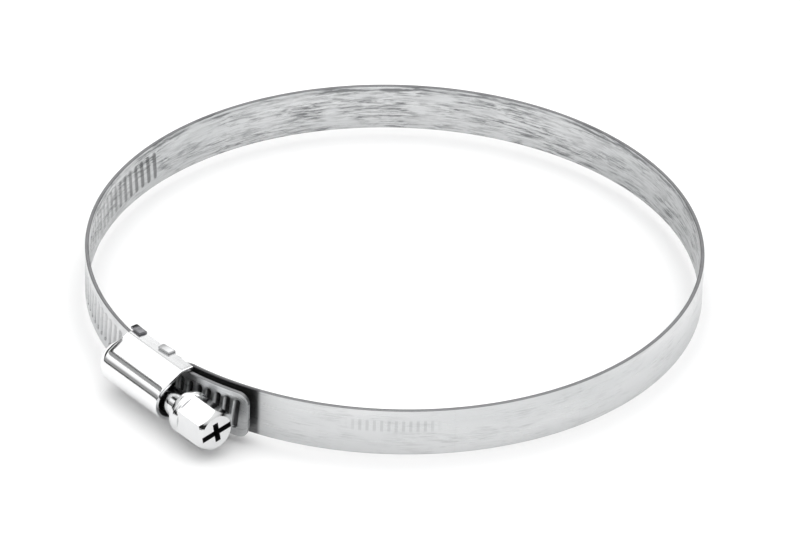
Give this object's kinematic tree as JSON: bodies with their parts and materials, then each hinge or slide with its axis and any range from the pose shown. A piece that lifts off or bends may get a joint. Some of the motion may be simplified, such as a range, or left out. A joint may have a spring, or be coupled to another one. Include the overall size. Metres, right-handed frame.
{
  "type": "hose clamp",
  "caption": "Worm-drive hose clamp: a flat steel band with pressed thread runs through a bell-shaped housing and is drawn round a hose by a captive hexagon-head screw.",
  "frame": {"origin": "centre of the loop, half way up the band's width", "axes": "+Z along the hose's axis; +X from the centre to the worm's housing; the screw lies along Y with its head towards +Y"},
  "size_m": [0.1183, 0.11, 0.0116],
  "materials": {
    "housing_steel": "bright zinc plate, smooth and glossy",
    "band_steel": "zinc-coated strip, lightly scratched along its length",
    "screw_steel": "bright zinc plate, glossy"
  },
  "bodies": {
    "housing": {"housing_shell": "housing_steel", "saddle": "housing_steel", "fixed_band_end": "band_steel"},
    "screw": {"worm_screw": "screw_steel"},
    "band_tail": {"band_tail": "band_steel"},
    "band_arc_01": {"band_arc_01": "band_steel"},
    "band_arc_02": {"band_arc_02": "band_steel"},
    "band_arc_03": {"band_arc_03": "band_steel"},
    "band_arc_04": {"band_arc_04": "band_steel"},
    "band_arc_05": {"band_arc_05": "band_steel"},
    "band_arc_06": {"band_arc_06": "band_steel"},
    "band_arc_07": {"band_arc_07": "band_steel"},
    "band_arc_08": {"band_arc_08": "band_steel"},
    "band_arc_09": {"band_arc_09": "band_steel"},
    "band_arc_10": {"band_arc_10": "band_steel"},
    "band_arc_11": {"band_arc_11": "band_steel"},
    "band_arc_12": {"band_arc_12": "band_steel"},
    "band_arc_13": {"band_arc_13": "band_steel"},
    "band_arc_14": {"band_arc_14": "band_steel"},
    "band_arc_15": {"band_arc_15": "band_steel"},
    "band_arc_16": {"band_arc_16": "band_steel"},
    "band_arc_17": {"band_arc_17": "band_steel"},
    "band_arc_18": {"band_arc_18": "band_steel"},
    "band_arc_19": {"band_arc_19": "band_steel"},
    "band_arc_20": {"band_arc_20": "band_steel"}
  },
  "joints": [
    {"name": "screw_turn", "type": "hinge", "parent": "housing", "child": "screw", "pos_m": [0.05922, 0, 0], "axis": [0, -1, 0], "range_deg": [-270, 10620]},
    {"name": "band_tail_feed", "type": "hinge", "parent": "housing", "child": "band_tail", "pos_m": [-0.00006, 0.00167, 0], "axis": [0, 0, 1], "range_deg": [-1.57, 61.07]},
    {"name": "band_bend_01", "type": "hinge", "parent": "band_tail", "child": "band_arc_01", "pos_m": [0.00191, -0.05462, 0], "axis": [0, 0, 1], "range_deg": [-6.39, 0.18]},
    {"name": "band_close_02", "type": "hinge", "parent": "housing", "child": "band_arc_02", "pos_m": [-0.00366, 0.00745, 0], "axis": [0, 0, 1], "range_deg": [-1.41, 54.71]},
    {"name": "band_bend_03", "type": "hinge", "parent": "band_arc_02", "child": "band_arc_03", "pos_m": [-0.02114, -0.05039, 0], "axis": [0, 0, 1], "range_deg": [-5.84, 0.17]},
    {"name": "band_close_04", "type": "hinge", "parent": "housing", "child": "band_arc_04", "pos_m": [-0.00494, 0.01474, 0], "axis": [0, 0, 1], "range_deg": [-1.26, 48.89]},
    {"name": "band_bend_05", "type": "hinge", "parent": "band_arc_04", "child": "band_arc_05", "pos_m": [-0.04031, -0.0369, 0], "axis": [0, 0, 1], "range_deg": [-5.32, 0.15]},
    {"name": "band_close_06", "type": "hinge", "parent": "housing", "child": "band_arc_06", "pos_m": [-0.00353, 0.02241, 0], "axis": [0, 0, 1], "range_deg": [-1.13, 43.59]},
    {"name": "band_bend_07", "type": "hinge", "parent": "band_arc_06", "child": "band_arc_07", "pos_m": [-0.05206, -0.01663, 0], "axis": [0, 0, 1], "range_deg": [-4.91, 0.14]},
    {"name": "band_close_08", "type": "hinge", "parent": "housing", "child": "band_arc_08", "pos_m": [0.00047, 0.02937, 0], "axis": [0, 0, 1], "range_deg": [-1, 38.69]},
    {"name": "band_bend_09", "type": "hinge", "parent": "band_arc_08", "child": "band_arc_09", "pos_m": [-0.05424, 0.00671, 0], "axis": [0, 0, 1], "range_deg": [-4.69, 0.14]},
    {"name": "band_close_10", "type": "hinge", "parent": "housing", "child": "band_arc_10", "pos_m": [0.00665, 0.03483, 0], "axis": [0, 0, 1], "range_deg": [-0.88, 34.02]},
    {"name": "band_bend_11", "type": "hinge", "parent": "band_arc_10", "child": "band_arc_11", "pos_m": [-0.04644, 0.02881, 0], "axis": [0, 0, 1], "range_deg": [-4.7, 0.14]},
    {"name": "band_close_12", "type": "hinge", "parent": "housing", "child": "band_arc_12", "pos_m": [0.01458, 0.03822, 0], "axis": [0, 0, 1], "range_deg": [-0.77, 29.34]},
    {"name": "band_bend_13", "type": "hinge", "parent": "band_arc_12", "child": "band_arc_13", "pos_m": [-0.03011, 0.04561, 0], "axis": [0, 0, 1], "range_deg": [-4.94, 0.15]},
    {"name": "band_close_14", "type": "hinge", "parent": "housing", "child": "band_arc_14", "pos_m": [0.02374, 0.03902, 0], "axis": [0, 0, 1], "range_deg": [-0.64, 24.42]},
    {"name": "band_bend_15", "type": "hinge", "parent": "band_arc_14", "child": "band_arc_15", "pos_m": [-0.00823, 0.05403, 0], "axis": [0, 0, 1], "range_deg": [-5.35, 0.16]},
    {"name": "band_close_16", "type": "hinge", "parent": "housing", "child": "band_arc_16", "pos_m": [0.0334, 0.03675, 0], "axis": [0, 0, 1], "range_deg": [-0.5, 19.08]},
    {"name": "band_bend_17", "type": "hinge", "parent": "band_arc_16", "child": "band_arc_17", "pos_m": [0.01515, 0.05251, 0], "axis": [0, 0, 1], "range_deg": [-5.86, 0.17]},
    {"name": "band_close_18", "type": "hinge", "parent": "housing", "child": "band_arc_18", "pos_m": [0.0425, 0.03119, 0], "axis": [0, 0, 1], "range_deg": [-0.36, 13.24]},
    {"name": "band_bend_19", "type": "hinge", "parent": "band_arc_18", "child": "band_arc_19", "pos_m": [0.03575, 0.04133, 0], "axis": [0, 0, 1], "range_deg": [-6.38, 0.18]},
    {"name": "band_close_20", "type": "hinge", "parent": "housing", "child": "band_arc_20", "pos_m": [0.04978, 0.02256, 0], "axis": [0, 0, 1], "range_deg": [-0.19, 6.88]}
  ],
  "couplings": [
    {"joint": "band_tail_feed", "follows": "screw_turn", "ratio": 0.0056363},
    {"joint": "band_bend_01", "follows": "screw_turn", "ratio": -0.00058793},
    {"joint": "band_close_02", "follows": "screw_turn", "ratio": 0.0050484},
    {"joint": "band_bend_03", "follows": "screw_turn", "ratio": -0.00053709},
    {"joint": "band_close_04", "follows": "screw_turn", "ratio": 0.0045113},
    {"joint": "band_bend_05", "follows": "screw_turn", "ratio": -0.00048952},
    {"joint": "band_close_06", "follows": "screw_turn", "ratio": 0.0040217},
    {"joint": "band_bend_07", "follows": "screw_turn", "ratio": -0.00045187},
    {"joint": "band_close_08", "follows": "screw_turn", "ratio": 0.0035699},
    {"joint": "band_bend_09", "follows": "screw_turn", "ratio": -0.00043129},
    {"joint": "band_close_10", "follows": "screw_turn", "ratio": 0.0031386},
    {"joint": "band_bend_11", "follows": "screw_turn", "ratio": -0.00043219},
    {"joint": "band_close_12", "follows": "screw_turn", "ratio": 0.0027064},
    {"joint": "band_bend_13", "follows": "screw_turn", "ratio": -0.00045423},
    {"joint": "band_close_14", "follows": "screw_turn", "ratio": 0.0022522},
    {"joint": "band_bend_15", "follows": "screw_turn", "ratio": -0.00049239},
    {"joint": "band_close_16", "follows": "screw_turn", "ratio": 0.0017598},
    {"joint": "band_bend_17", "follows": "screw_turn", "ratio": -0.00053897},
    {"joint": "band_close_18", "follows": "screw_turn", "ratio": 0.0012208},
    {"joint": "band_bend_19", "follows": "screw_turn", "ratio": -0.00058707},
    {"joint": "band_close_20", "follows": "screw_turn", "ratio": 0.00063374}
  ]
}
